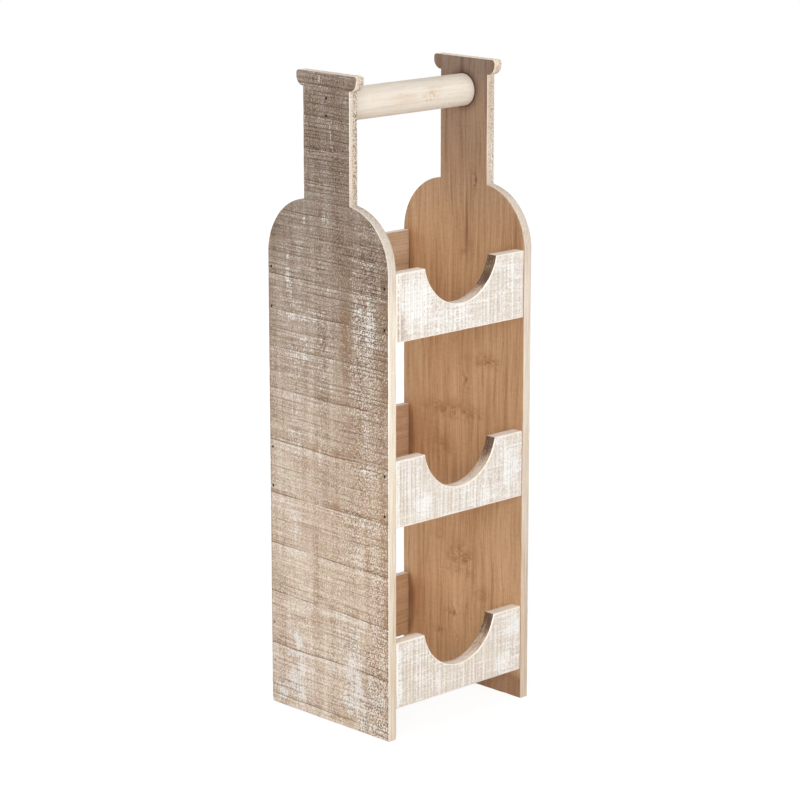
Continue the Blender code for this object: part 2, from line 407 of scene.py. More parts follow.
def planedFace(name, grain, seed, look):
    # planed and stained: long fibres, darker streaks and smudges, small knots that bend the grain, and painted
    # shade and painted contact shadows where other parts meet the face
    bench = Finish(name, grain)
    along, across, through = bench.axes()
    through = through * 0.05 + seed
    knots = look["knots"]
    pull = bench.spots([(a, b, w * 3.2, h * 3.0, s) for a, b, w, h, s in knots], 1.1, 0.0)
    bend = bench.noise(across * 0.02, along * 0.008, through, 2.0)
    lane = across + (bend - 0.5) * 14 + pull * look["knotPull"]
    fibre = bench.noise(lane / 0.8, along * 0.022, through, 3.0, 0.65)
    ring = bench.noise(lane / 3.8, along * 0.006, through + 3, 2.0, 0.55)
    wide = bench.noise(across / 22, along * 0.008, through + 5, 2.0)
    pore = bench.noise(lane / 0.5, along / 7, through + 8)
    figure = bench.noise(across / 5, along / 2.4, through + 11, 2.0, 0.6)
    tone = (ring - 0.5) * 1.05 + (fibre - 0.5) * 1.7 + (wide - 0.5) * 0.6 + (figure - 0.5) * 0.4 + 0.5
    colour = bench.ramp(tone, (0.1, look["deep"]), (0.5, look["wood"]), (0.9, look["pale"]))
    streak = bench.spots(look["streaks"], 1.5, 0.0, 0.0, (fibre - 0.5) * 5)
    red = bench.spots(look["reds"], 1.2, 0.2, (wide - 0.5) * 30)
    blot = bench.noise(across * 0.09, along * 0.09, through + 14, 3.0, 0.65)
    smudge = bench.spots(look["smudges"], 1.7, 0.1, (blot - 0.5) * 34, (figure - 0.5) * 22)
    smudge = smudge * (figure * 0.6 + blot * 0.6).fade(0.42, 0.78)
    heart = bench.spots(knots, 1.3, 0.0, 0.0, (fibre - 0.5) * 2.5)
    pores = pore.fade(0.36, 0.26) * 0.4
    colour = bench.cover(colour, look, streak=streak * (0.3 + fibre), red=red * 0.7, smudge=smudge,
                         knot=heart * 0.75)
    colour = bench.cover(colour, look, streak=pores)
    # painted shade and a painted contact shadow, multiplied over the wood where other parts meet the face
    colour = bench.cover(colour, look, "MULTIPLY", shade=bench.spots(look["shades"], 1.25, 0.75),
                         contact=bench.spots(look["contacts"], 1.12, 1.0))
    colour = bench.toned(colour, look)
    roughness = 0.62 + 0.14 * fibre
    height = fibre * 0.6 + ring * 0.25 - pores * 0.8
    return bench.close(colour, roughness, height, 0.00012)


def sawnEdge(name, grain, seed, look):
    # the pale cut edge: fibres along it, specks where the saw tore it
    bench = Finish(name, grain)
    along, across, through = bench.axes()
    fibre = bench.noise(across / 1.1, along * 0.02, through / 0.9 + seed, 3.0, 0.6)
    cloud = bench.noise(across * 0.05, along * 0.022, through * 0.05 + seed, 2.0)
    tear = bench.noise(across / 1.1, along / 1.5, through / 1.1 + seed, 2.0, 0.6)
    tone = fibre.fade(0.28, 0.72) * 0.6 + cloud * 0.5 + tear * 0.2
    colour = bench.ramp(tone, (0.3, look["deep"]), (0.62, look["wood"]), (0.95, look["pale"]))
    rough = along.fade(*look["tornRange"])
    torn = (tear - rough * 0.03).fade(0.47, 0.38) * (0.10 + rough * 0.85) * look["torn"]
    torn = torn * through.fade(*look["tornSide"])
    colour = bench.cover(colour, look, speck=torn)
    colour = bench.toned(colour, look)
    roughness = 0.72 + 0.15 * tear
    height = fibre * 0.4 + tear * 0.5 - torn * 0.6
    return bench.close(colour, roughness, height, 0.0002)


def scoopEdge(name, look):
    # end grain of the scoops, browner and darker where it stands steep: partly stain that the end grain soaked
    # up, partly painted shade where the wall turns from the light
    bench = Finish(name, "x")
    along, across, through = bench.axes()
    fibre = bench.noise(along / 1.2, across / 1.2, through / 1.2, 2.0, 0.6)
    layer = bench.noise(along * 0.06, across * 0.06, through / 1.5 + 7)
    cloud = bench.noise(along * 0.09, across * 0.09, through * 0.1 + 4, 2.0)
    # painted shade: darker where the wall stands steep and turns from the light, lighter where it lies flat and
    # faces up, and lighter on the lower rails
    reach = bench.math("ABSOLUTE", along) + (cloud - 0.5) * 12 - across.fade(*look["lower"])
    flat = reach.fade(*look["steep"], 0.0, 0.55) + reach.fade(*look["shallow"], 0.0, 0.36)
    tone = (fibre - 0.5) + (layer - 0.5) * 0.6 + (cloud - 0.5) * 0.5 + flat
    colour = bench.ramp(tone, (0.0, look["deep"]), (0.45, look["wood"]), (1.0, look["pale"]))
    return bench.close(colour, 0.8 + 0.1 * fibre, fibre, 0.0002)


def shadedHoleWall(name):
    # crushed wood painted dark as painted shade of the recess, paler in the two lowest rows of holes
    bench = Finish(name)
    along, across, through = bench.axes()
    crushAndShade = bench.noise(along / 0.4, across / 0.4, through / 0.8, 2.0)
    colour = bench.ramp(crushAndShade, (0.3, tint(34, 25, 20)), (0.7, tint(84, 64, 50)))
    colour = bench.mix(along.fade(120, 100), colour, tint(186, 164, 142))
    return bench.close(colour, 0.9 - 0.1 * crushAndShade, crushAndShade, 0.0001)


# boards

bottle = {"height": 0.600, "depth": 0.158, "thickness": 0.010, "shoulder": 0.056, "neck": 0.060,
          "neckBase": 0.485, "lip": 0.078, "lipHeight": 0.014, "lipCorner": 0.003,
          "rowStep": 0.0008, "arcStep": 0.0010, "footMargin": 0.0022, "neckMargin": 0.0012,
          "lipSteps": 12, "cornerSteps": 5, "columns": 40, "worn": 0.0008, "innerGrid": 0.007}
rail = {"height": 0.062, "scoop": 0.090, "scoopDepth": 0.037, "rowStep": 0.0007, "margin": 0.0016,
        "scoopMargin": 0.0015, "scoopSteps": 150, "columns": 20, "worn": 0.0010, "innerGrid": 0.005}
# how an arris is rounded: angles of its rings, how far the saw's marks reach them, and its uneven wear
arrisRound = {"angles": (0, 30, 60, 90), "shares": (1.0, 0.7, 0.25, 0.0), "mitre": 0.55,
              "broad": 90, "fine": 420, "fineShare": 0.6, "uneven": 0.35}
finishes = {"edge": 0, "sawn": 1, "inner": 2, "hole": 3, "scoop": 4, "arris": 5}
smoothAngle = 40


def spread(start, end, step, margin):
    # places from start to end about a step apart, with a longer first and last gap
    inner = max(2, round((end - start - 2 * margin) / step))
    middle = [start + margin + (end - start - 2 * margin) * i / inner for i in range(inner + 1)]
    return [start, *middle, end]


def bottleRows():
    # (level, lower edge, upper edge, finish of that edge), from the foot to the lip
    sizes = bottle
    halfNeck, halfLip, halfDepth = sizes["neck"] / 2, sizes["lip"] / 2, sizes["depth"] / 2
    radius, centre = sizes["shoulder"], halfDepth - sizes["shoulder"]
    spring = sizes["neckBase"] - sqrt(radius ** 2 - (halfNeck - centre) ** 2)
    stop = pi / 2 - asin((halfNeck - centre) / radius)
    half = [(halfDepth, z) for z in spread(0, spring, sizes["rowStep"], sizes["footMargin"])]
    count = round(radius * stop / sizes["arcStep"])
    for turn in [stop * i / count for i in range(1, count + 1)]:
        half.append((centre + radius * cos(turn), spring + radius * sin(turn)))
    over, under = halfLip - halfNeck, sizes["height"] - sizes["lipHeight"]
    half += [(halfNeck, z) for z in spread(sizes["neckBase"], under, sizes["rowStep"], sizes["neckMargin"])[1:]]
    for turn in [pi / 2 * i / sizes["lipSteps"] for i in range(1, sizes["lipSteps"] + 1)]:
        half.append((halfNeck + over * sin(turn), under + over * (1 - cos(turn))))
    corner = sizes["lipCorner"]
    for turn in [pi / 2 * i / sizes["cornerSteps"] for i in range(sizes["cornerSteps"] + 1)]:
        half.append((halfLip - corner + corner * cos(turn), sizes["height"] - corner + corner * sin(turn)))
    return [(z, -across, across, "edge") for across, z in half]


def railRows(length, top):
    halfScoop, depth = rail["scoop"] / 2, rail["scoopDepth"]
    radius = (halfScoop ** 2 + depth ** 2) / (2 * depth)
    rise = asin((radius - depth) / radius)
    bottom = top - rail["height"]
    flat = [(x, bottom, top, "edge") for x in spread(-length / 2, -halfScoop, rail["rowStep"], rail["margin"])]
    margin, steps = rail["scoopMargin"] / radius, rail["scoopSteps"]
    sweep = pi - 2 * rise - 2 * margin
    turns = [rise] + [rise + margin + sweep * i / steps for i in range(steps + 1)]
    centre = top + radius - depth
    scoop = [(-radius * cos(turn), bottom, centre - radius * sin(turn), "scoop") for turn in turns]
    right = [(-x, low, high, "edge") for x, low, high, _ in reversed(flat)]
    flat[-1] = (*flat[-1][:3], "scoop")
    return flat + scoop[1:] + right


def boardMesh(name, rows, board, thickness, chips, seed, strips, place):
    # A closed board from its rows. place(along, across, depth) puts a point of it in the rack; depth is
    # counted from the sawn face. Each arris is rounded, a little unevenly, and chipped where chips say.
    columns, worn, innerGrid = board["columns"], board["worn"], board["innerGrid"]
    last = len(rows) - 1
    ring = [(i, 0) for i in range(last + 1)] + [(last, j) for j in range(1, columns + 1)]
    ring += [(i, columns) for i in range(last - 1, -1, -1)] + [(0, j) for j in range(columns - 1, 0, -1)]
    key = {cell: number for number, cell in enumerate(ring)}
    loop = []
    for i, j in ring:
        along, low, high, _ = rows[i]
        loop.append(Vector((along, low + (high - low) * j / columns)))
    count = len(loop)
    kinds = ["edge"] * count
    for i in range(last):
        kinds[key[i, columns] - 1] = rows[i][3]

    # outward directions in the board's plane
    outward = []
    for i in range(count):
        before, here, after = loop[i - 1], loop[i], loop[(i + 1) % count]
        first, second = (here - before).normalized(), (after - here).normalized()
        sides = [Vector((step.y, -step.x)) for step in (first, second)]
        middle = (sides[0] + sides[1]).normalized()
        outward.append(middle / max(middle.dot(sides[0]), arrisRound["mitre"]))
    area = sum(a.x * b.y - b.x * a.y for a, b in zip(loop, loop[1:] + loop[:1]))
    if area < 0:
        outward = [-direction for direction in outward]

    def wobble(point, pitch, layer):
        return mathutils.noise.noise(Vector((point.x * pitch, point.y * pitch, layer)))

    def wear(side):
        # how deep the arris of one side is rounded at each point of the loop
        layer = seed + side * 9
        depths = []
        for point in loop:
            uneven = wobble(point, arrisRound["broad"], layer)
            uneven += arrisRound["fineShare"] * wobble(point, arrisRound["fine"], layer + 4)
            size = worn * (1 + arrisRound["uneven"] * uneven)
            for alongChip, acrossChip, chipped, reach, deep in chips:
                if chipped == side:
                    away = hypot(point.x - alongChip, point.y - acrossChip) / reach
                    size += deep * max(0.0, 1 - away * away)
            depths.append(size)
        return depths

    vertices, faces, kindOf, sawn = [], [], [], []

    def vertex(point, depth, share=0.0):
        vertices.append(place(point.x, point.y, depth))
        sawn.append(share)
        return len(vertices) - 1

    def face(kind, *corners):
        faces.append(corners)
        kindOf.append(finishes[kind])

    def arrisRing(depths, angle, start, way, share=0.0):
        turned = []
        for point, direction, size in zip(loop, outward, depths):
            depth = start + way * size * (1 - cos(angle))
            turned.append(vertex(point - direction * size * (1 - sin(angle)), depth, share))
        return turned

    fronts, backs = wear(0), wear(1)
    angles = [radians(angle) for angle in arrisRound["angles"]]
    rings = [arrisRing(fronts, angle, 0.0, 1, share) for angle, share in zip(angles, arrisRound["shares"])]
    rings += [arrisRing(backs, angle, thickness, -1) for angle in reversed(angles)]
    for strip, near, far in zip(strips, rings, rings[1:]):
        for i in range(count):
            after = (i + 1) % count
            face(strip or kinds[i], near[i], near[after], far[after], far[i])

    # the sawn face: a fine ladder of cells, so that the cuts have real depth
    inset = [loop[i] - outward[i] * fronts[i] for i in range(count)]
    cell = {}
    for i in range(last + 1):
        for j in range(columns + 1):
            if (i, j) in key:
                cell[i, j] = rings[0][key[i, j]]
            else:
                cell[i, j] = vertex(inset[key[i, 0]].lerp(inset[key[i, columns]], j / columns), 0.0, 1.0)
    for i in range(last):
        for j in range(columns):
            face("sawn", cell[i, j], cell[i, j + 1], cell[i + 1, j + 1], cell[i + 1, j])

    # the planed face is flat, so few points do
    points = [loop[i] - outward[i] * backs[i] for i in range(count)]
    lowAlong, highAlong = rows[0][0], rows[-1][0]
    steps = int((highAlong - lowAlong) / innerGrid)
    margin = innerGrid * 0.7
    for step in range(1, steps):
        along = lowAlong + (highAlong - lowAlong) * step / steps
        i = max(k for k in range(last + 1) if rows[k][0] <= along)
        near = rows[max(0, i - 3):i + 5]
        low, high = max(row[1] for row in near) + margin, min(row[2] for row in near) - margin
        across = max(1, int((high - low) / innerGrid))
        points += [Vector((along, low + (high - low) * j / across)) for j in range(across + 1)]
    around = [(i, (i + 1) % count) for i in range(count)]
    tolerance = 1e-7
    flat, _, triangles, origins = delaunay_2d_cdt(points, around, [], 1, tolerance)[:4]
    number = [rings[-1][min(origin)] if origin and min(origin) < count else vertex(point, thickness)
              for point, origin in zip(flat, origins)]
    for triangle in triangles:
        face("inner", *(number[k] for k in triangle))

    mesh = bpy.data.meshes.new(name)
    mesh.from_pydata(vertices, [], faces)
    mesh.attributes.new("sawn", "FLOAT", "POINT").data.foreach_set("value", sawn)
    mesh.attributes.new("finish", "INT", "FACE").data.foreach_set("value", kindOf)
    bm = bmesh.new()
    bm.from_mesh(mesh)
    return fromBmesh(bm, mesh)


def fromBmesh(bm, mesh):
    bmesh.ops.recalc_face_normals(bm, faces=bm.faces)
    bm.to_mesh(mesh)
    bm.free()
    return mesh


def tube(name, rings):
    # a closed mesh through rings of points
    bm = bmesh.new()
    rings = [[bm.verts.new(point) for point in ring] for ring in rings]
    for near, far in zip(rings, rings[1:]):
        for s in range(len(near)):
            bm.faces.new((near[s - 1], near[s], far[s], far[s - 1]))
    bm.faces.new(rings[0])
    bm.faces.new(rings[-1])
    return fromBmesh(bm, bpy.data.meshes.new(name))


# holes that the brads were driven into

brad = {"headRadius": 0.0012, "shankRadius": 0.00095, "sunk": 0.0012, "headDepth": 0.0011,
        "length": 0.0253, "overrun": 0.002, "sides": 16}


def holeCutter():
    head, shank, sides = brad["headRadius"], brad["shankRadius"], brad["sides"]
    profile = ((head, -brad["sunk"] - brad["overrun"]), (head, brad["headDepth"]), (shank, brad["headDepth"]),
               (shank, brad["length"]))
    turns = [2 * pi * s / sides for s in range(sides)]
    mesh = tube("holeCutter", [[(r * cos(turn), r * sin(turn), z) for turn in turns] for r, z in profile])
    return bpy.data.objects.new("holeCutter", mesh)


def bradBoxes(word):
    return [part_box(node) for node in frame["nodes"] if node.startswith("brad_") and word in node]


def bradPoints(name, word):
    # a point at the head of each brad whose name has the word, with the way it was driven
    heads, ways = [], []
    for low, high in bradBoxes(word):
        side = -1 if low.x < 0 else 1
        heads.append((low.x if side < 0 else high.x, (low.y + high.y) / 2, (low.z + high.z) / 2))
        ways += [-side, 0, 0]
    mesh = bpy.data.meshes.new(name)
    mesh.from_pydata(heads, [], [])
    mesh.attributes.new("drive", "FLOAT_VECTOR", "POINT").data.foreach_set("vector", ways)
    return bpy.data.objects.new(name, mesh)


# what sawMarks takes from a board, and what else its tree takes
sawInputs = ("nicks", "nickWidth", "finePitch", "broadPitch", "tilt", "sway", "seed")
treeInputs = {
    "geometry": "Geometry", "along": "Vector", "across": "Vector", "inward": "Vector",
    **{name: "Float" for name in (*sawInputs, "lineDepth", "markDepth")},
    "holes": "Object", "cutter": "Object", **{name: "Material" for name in finishes},
}


def boardTree(name, saw):
    # Geometry Nodes that press the saw's marks into the rough side, drill the holes and set the finishes
    tree = bpy.data.node_groups.new(name, "GeometryNodeTree")
    bench = Bench(tree)
    for name, kind in treeInputs.items():
        tree.interface.new_socket(name=name, in_out="INPUT", socket_type="NodeSocket" + kind)
    tree.interface.new_socket(name="geometry", in_out="OUTPUT", socket_type="NodeSocketGeometry")
    sockets = bench.add("NodeGroupInput").socket.node.outputs
    given = {name: Wire(bench, sockets[name]) for name in treeInputs}

    def step(kind, inputs=None, out=0, **settings):
        return bench.add("GeometryNode" + kind, settings, inputs, out)

    # relief
    place = step("InputPosition")
    along, across = (bench.vectorMath("DOT_PRODUCT", place, given[name], "Value") * toMillimetres
                     for name in ("along", "across"))
    marks = sawMarks(bench, along, across, {**saw, **{name: given[name] for name in sawInputs}})
    rough = step("InputNamedAttribute", {"Name": "sawn"}, data_type="FLOAT")
    depth = (marks["line"] + marks["nick"] * 0.6) * given["lineDepth"]
    depth = depth + (1 - marks["lift"]) * given["markDepth"] * 0.5
    depth = depth + (1 - marks["broad"].fade(0.3, 0.7)) * given["markDepth"]
    depth = depth + (1 - marks["fine"].fade(0.3, 0.7)) * given["markDepth"] * 0.6
    push = bench.add("ShaderNodeVectorMath", {"operation": "SCALE"},
                     {0: given["inward"], "Scale": depth * rough / toMillimetres})
    board = step("SetPosition", {"Geometry": given["geometry"], "Offset": push})

    # holes
    points, cutter = (step("ObjectInfo", {"Object": given[name]}, "Geometry") for name in ("holes", "cutter"))
    drive = step("InputNamedAttribute", {"Name": "drive"}, data_type="FLOAT_VECTOR")
    turn = bench.add("FunctionNodeAlignRotationToVector", {"axis": "Z"}, {"Vector": drive})
    drills = step("InstanceOnPoints", {"Points": points, "Instance": cutter, "Rotation": turn})
    drills = step("RealizeInstances", {"Geometry": drills})
    drills = step("StoreNamedAttribute", {"Geometry": drills, "Name": "finish", "Value": finishes["hole"]},
                  data_type="INT", domain="FACE")
    board = step("MeshBoolean", {"Mesh 1": board, "Mesh 2": drills}, operation="DIFFERENCE", solver="EXACT")

    board = step("RealizeInstances", {"Geometry": board})
    finish = step("InputNamedAttribute", {"Name": "finish"}, data_type="INT")
    for name, number in finishes.items():
        chosen = bench.add("FunctionNodeCompare", {"data_type": "INT", "operation": "EQUAL"},
                           {"A_INT": finish, "B_INT": number})
        board = step("SetMaterial", {"Geometry": board, "Selection": chosen, "Material": given[name]})
    bench.add("NodeGroupOutput", None, {"geometry": board})
    return tree


cutterObject = holeCutter()


def dress(name, node, mesh, tree, values, materials, word, slot):
    # runs the tree on a raw board and keeps the result as a plain mesh in the place of its CAD node
    item = bpy.data.objects.new(name, mesh)
    points = bradPoints(name + "Holes", word)
    for extra in (item, points, cutterObject):
        if extra.name not in bpy.context.collection.objects:
            bpy.context.collection.objects.link(extra)
    modifier = item.modifiers.new(tree.name, "NODES")
    modifier.node_group = tree
    chosen = {**values, **materials, "holes": points, "cutter": cutterObject}
    for socket in tree.interface.items_tree:
        if socket.in_out == "INPUT" and socket.name in chosen:
            modifier[socket.identifier] = chosen[socket.name]
    bpy.context.view_layer.update()
    result = bpy.data.meshes.new_from_object(item.evaluated_get(bpy.context.evaluated_depsgraph_get()))
    item.modifiers.clear()
    item.data = result
    for leftover in ("sawn", "finish"):
        if leftover in result.attributes:
            result.attributes.remove(result.attributes[leftover])
    result.shade_smooth()
    result.set_sharp_from_angle(angle=radians(smoothAngle))
    bpy.data.objects.remove(points, do_unlink=True)
    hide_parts(node)
    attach(item, "root")
    print("dressed", name, len(result.polygons), "faces")


# what every board shares

holeFinish = shadedHoleWall("bradHole")
panelSteps = [-42, 8, 58, 108, 155, 204, 254, 303, 343, 378, 410, 440, 470, 502, 531, 560, 588, 618]
railSteps = [-104, -81, -52, -27, 4, 30, 61, 84, 108]
panelSaw = {"steps": panelSteps, "nicks": 8.0, "lineWidth": (0.036, 0.010), "nickWidth": 0.27,
            "nickHold": (0.32, 0.56), "finePitch": 1.05, "broadPitch": 2.6, "tilt": -0.012, "sway": 5.0}
railSaw = {"steps": railSteps, "nicks": 6.0, "lineWidth": (0.10, 0.03), "nickWidth": 0.27,
           "nickHold": (0.28, 0.58), "finePitch": 1.2, "broadPitch": 3.0, "tilt": -0.01, "sway": 3.0}
panelDepth = {"lineDepth": 0.30, "markDepth": 0.16}
railDepth = {"lineDepth": 0.16, "markDepth": 0.12}
panelBoard, railBoard = boardTree("sawnPanel", panelSaw), boardTree("sawnRail", railSaw)

# a place past the end of every board, and ranges that a board never reaches or always lies past
beyond = 9000
never, always = (beyond, beyond + 1), (-beyond, 1 - beyond)

# what the looks of sawn faces share, those of planed faces, and the colours of every worn arris, pale bare wood
# lifted near white as a painted highlight
sawnLook = makeLook({}, dict(bruise=(64, 50, 42)), cutShade=0.3, rim=beyond, ribbed=[], bruises=[], tones=[],
                    sides=[])
# colours of the painted shade and the painted contact shadow; each look lists where they fall
planedLook = dict(shade=(0.52, 0.47, 0.50), contact=(0.52, 0.45, 0.42), tones=[], sides=[], shades=[],
                  contacts=[], knots=[], reds=[])
arrisWearAndHighlight = dict(deep=(244, 232, 216), wood=(254, 248, 237), pale=(255, 252, 247))


def sawValues(saw, depth, along, across, inward):
    values = {name: saw[name] for name in sawInputs}
    return {**values, **depth, "along": along, "across": across, "inward": inward}


# side panels

panelLook = makeLook(
    sawnLook,
    dict(groove=(128, 103, 83), wood=(209, 190, 173), ridge=(246, 239, 229), line=(122, 96, 74),
         nickTint=(122, 96, 74), stain=(170, 138, 110), paint=(234, 231, 227), fleck=(246, 238, 228),
         pit=(112, 87, 68)),
    rose=(0.985, 0.92, 0.885), straw=(0.98, 0.962, 0.875), tints=0.75, patchGrain=1, fineShare=0.5,
    cutPaint=0.38, stainBare=0.5, bareRange=(440, 510), cloudShade=0.42, fibreShade=0.36, laneShade=0.62,
    laneWidth=9, laneLength=250, lanePaint=0.14, stepShade=0.1, grit=1.05, lineShare=0.68, nickShare=0.95,
    nickRange=(180, 420), nickOver=0, nickBreak=(0.2, 1.1), wash=0.06, paintShare=0.84, flecks=0.9,
    # tones: darker towards the top, partly the board's own tone and partly painted shade of light that falls
    # off upwards
    fleckRange=(340, 480), pits=0.6, rim=79, tones=[(150, 530, (0.45, 0.435, 0.44))],
    sides=[(45, -74, (0.94, 0.91, 0.87))])
edgeLook = makeLook(
    {}, dict(deep=(222, 203, 180), wood=(238, 225, 206), pale=(247, 240, 228), speck=(150, 120, 96)),
    torn=1, tornRange=(455, 505), tornSide=(-89, -84, 0.25, 1.25),
    tones=[(380, 455, (0.77, 0.76, 0.78)), (330, 30, (0.86, 0.81, 0.76)), (488, 500, (1.1, 1.09, 1.07)),
           # the last tone paints a highlight on the top of the lip, which faces up to the light
           (585, 590, (1.06, 1.05, 1.04)), (598.6, 599.6, (1.25, 1.26, 1.27))],
    sides=[])
rightEdgeLook = makeLook(
    edgeLook, dict(deep=(208, 188, 168), wood=(226, 212, 196), pale=(238, 229, 216)), torn=0.7,
    tornSide=(82, 86, 0.2, 1),
    tones=[(380, 455, (0.9, 0.89, 0.9)), (330, 30, (0.84, 0.785, 0.73)), *edgeLook["tones"][2:]])
panelArris = makeLook(
    # darker towards the back and at the top of the lip, where the painted highlight is taken back, and at the
    # foot as painted shade where the board stands on the floor
    edgeLook, arrisWearAndHighlight, torn=0.6, sides=[(-20, 30, (0.62, 0.56, 0.5))],
    tones=[*edgeLook["tones"][:3], (594, 598, (0.62, 0.57, 0.53)), (2.5, 0.5, (0.62, 0.56, 0.5))])
brownLook = makeLook(
    planedLook,
    dict(deep=(194, 150, 108), wood=(225, 184, 142), pale=(240, 206, 164), smudge=(170, 122, 84),
         streak=(138, 98, 70), red=(196, 142, 106), knot=(112, 74, 50)),
    # a painted contact shadow round the handle's end; painted shade round it, in the corners by the three back
    # rails and low at the front under the bottom rail
    knotPull=7, contacts=[(0, 570, 15.2, 15.2, 0.8)],
    shades=[(0, 570, 19, 19, 0.8), (75, 399, 10, 34, 0.45), (75, 230, 11, 34, 0.7), (75, 60, 12, 34, 0.8),
            (-58, 6, 40, 17, 0.82)])
leftPanel = dict(
    seed=21.3, edge=edgeLook, backArris=None,
    # along, across, side (0 sawn, 1 planed), reach, depth
    chips=[(0.0, 0.079, 0, 0.005, 0.0013), (0.0, 0.079, 1, 0.005, 0.0013), (0.0, -0.079, 1, 0.004, 0.0010),
           (0.0004, 0.030, 0, 0.004, 0.0006), (0.596, -0.037, 0, 0.003, 0.0006),
           (0.300, -0.079, 0, 0.004, 0.0005)],
    # here and in the lists below: across, along, half width, half height, strength
    spots=dict(
        patches=[
            (52, 428, 3, 7, 0.4), (51, 408, 5, 12, 0.75), (49, 394, 3, 6, 0.7), (46, 386, 4, 3, 0.6),
            (47, 375, 6, 2.2, 0.7), (32, 375, 6, 3, 0.8), (14, 375, 5, 2, 0.4), (31, 354, 6, 3.5, 0.75),
            (31, 339, 4, 6, 0.8), (31, 345, 5, 2, 0.5), (30, 466, 3, 4, 0.5), (4, 470, 10, 4, 0.4),
            (8, 592, 1.2, 6, 1.1), (-6, 545, 2.6, 14, 0.62), (-24, 520, 2, 20, 0.3), (-57, 376, 10, 24, 0.64),
            (-41, 391, 7, 9, 0.6), (-48, 368, 18, 36, 0.38), (-34, 425, 5, 16, 0.35), (-46, 320, 14, 24, 0.25),
            (-52, 247, 7, 8, 0.7), (-50, 275, 5, 22, 0.45), (-44, 199, 20, 5, 0.55), (46, 180, 7, 30, 0.45),
            (56, 190, 24, 60, 0.2), (-38, 172, 8, 24, 0.35), (10, 258, 1.1, 46, 0.55), (10, 320, 1.2, 24, 0.4),
            (-2, 390, 1.5, 18, 0.3), (42, 66, 6, 6, 1), (46, 54, 13, 4, 0.95), (36, 42, 7, 12, 0.9),
            (46, 30, 16, 14, 0.75), (66, 15, 9, 10, 1), (38, 18, 9, 11, 1), (52, 20, 16, 14, 0.65),
            (46, 74, 14, 6, 0.5), (-33, 62, 15, 46, 0.75), (-29, 24, 15, 12, 1), (-39, 34, 9, 26, 1),
            (-62, 9, 14, 5, 0.9), (-46, 9, 7, 10, 0.9), (-64, 38, 12, 16, 0.5), (-40, 98, 8, 6, 0.5),
            (43, 330, 14, 34, 0.3), (43, 262, 14, 26, 0.32), (-20, 85, 14, 44, 0.42), (40, 80, 40, 60, 0.22),
            (-42, 22, 18, 30, 0.4), (6, 345, 14, 44, 0.36), (-20, 265, 10, 16, 0.25), (-18, 115, 12, 20, 0.25),
            (-44, 24, 20, 18, 0.75), (-40, 60, 12, 40, 0.5), (-10, 55, 12, 30, 0.35), (0, 45, 110, 80, 0.2),
            (-52, 52, 12, 14, 0.4)],
        stains=[
            (-24, 368, 8, 84, 1), (-24, 350, 5, 34, 0.8), (28, 190, 12, 48, 0.4), (-55, 230, 12, 70, 0.4),
            (-72, 362, 7, 80, 0.9), (18, 259, 12, 4, 0.8), (-12, 258, 8, 4, 0.8), (24, 208, 12, 4, 0.7),
            (-9, 209, 8, 5, 0.7), (-66, 216, 15, 14, 0.7), (18, 242, 9, 8, 0.4), (-74, 122, 6, 34, 0.6),
            (-62, 86, 16, 18, 0.45), (-14, 5, 18, 3, 0.9), (-72, 205, 7, 70, 0.9), (-60, 292, 14, 26, 0.4),
            (-34, 290, 30, 44, 0.4), (24, 145, 10, 9, 0.4), (14, 96, 16, 6, 0.4), (-16, 300, 8, 26, 0.5),
            (-72, 60, 8, 14, 0.4)],
        busy=[(-56, 320, 26, 150, 0.95), (-10, 425, 60, 60, 0.2), (0, 545, 36, 70, 0.45),
              (-68, 58, 14, 72, 1.7), (-66, 180, 14, 70, 1.1), (-45, 185, 30, 50, 0.5)]),
    planed=dict(
        knots=[(-30, 210, 3, 5, 0.8), (42, 88, 3.5, 5, 0.7), (12, 330, 2.5, 5, 0.6)],
        streaks=[(20, 300, 2, 60, 0.6)], reds=[(-50, 60, 20, 20, 0.6)],
        # painted light: the planed face is lighter below about 240 mm, against the shade low between the rails
        smudges=[(10, 180, 30, 10, 0.6), (-30, 400, 12, 20, 0.5)], tones=[(70, 240, (0.86, 0.82, 0.8))]))
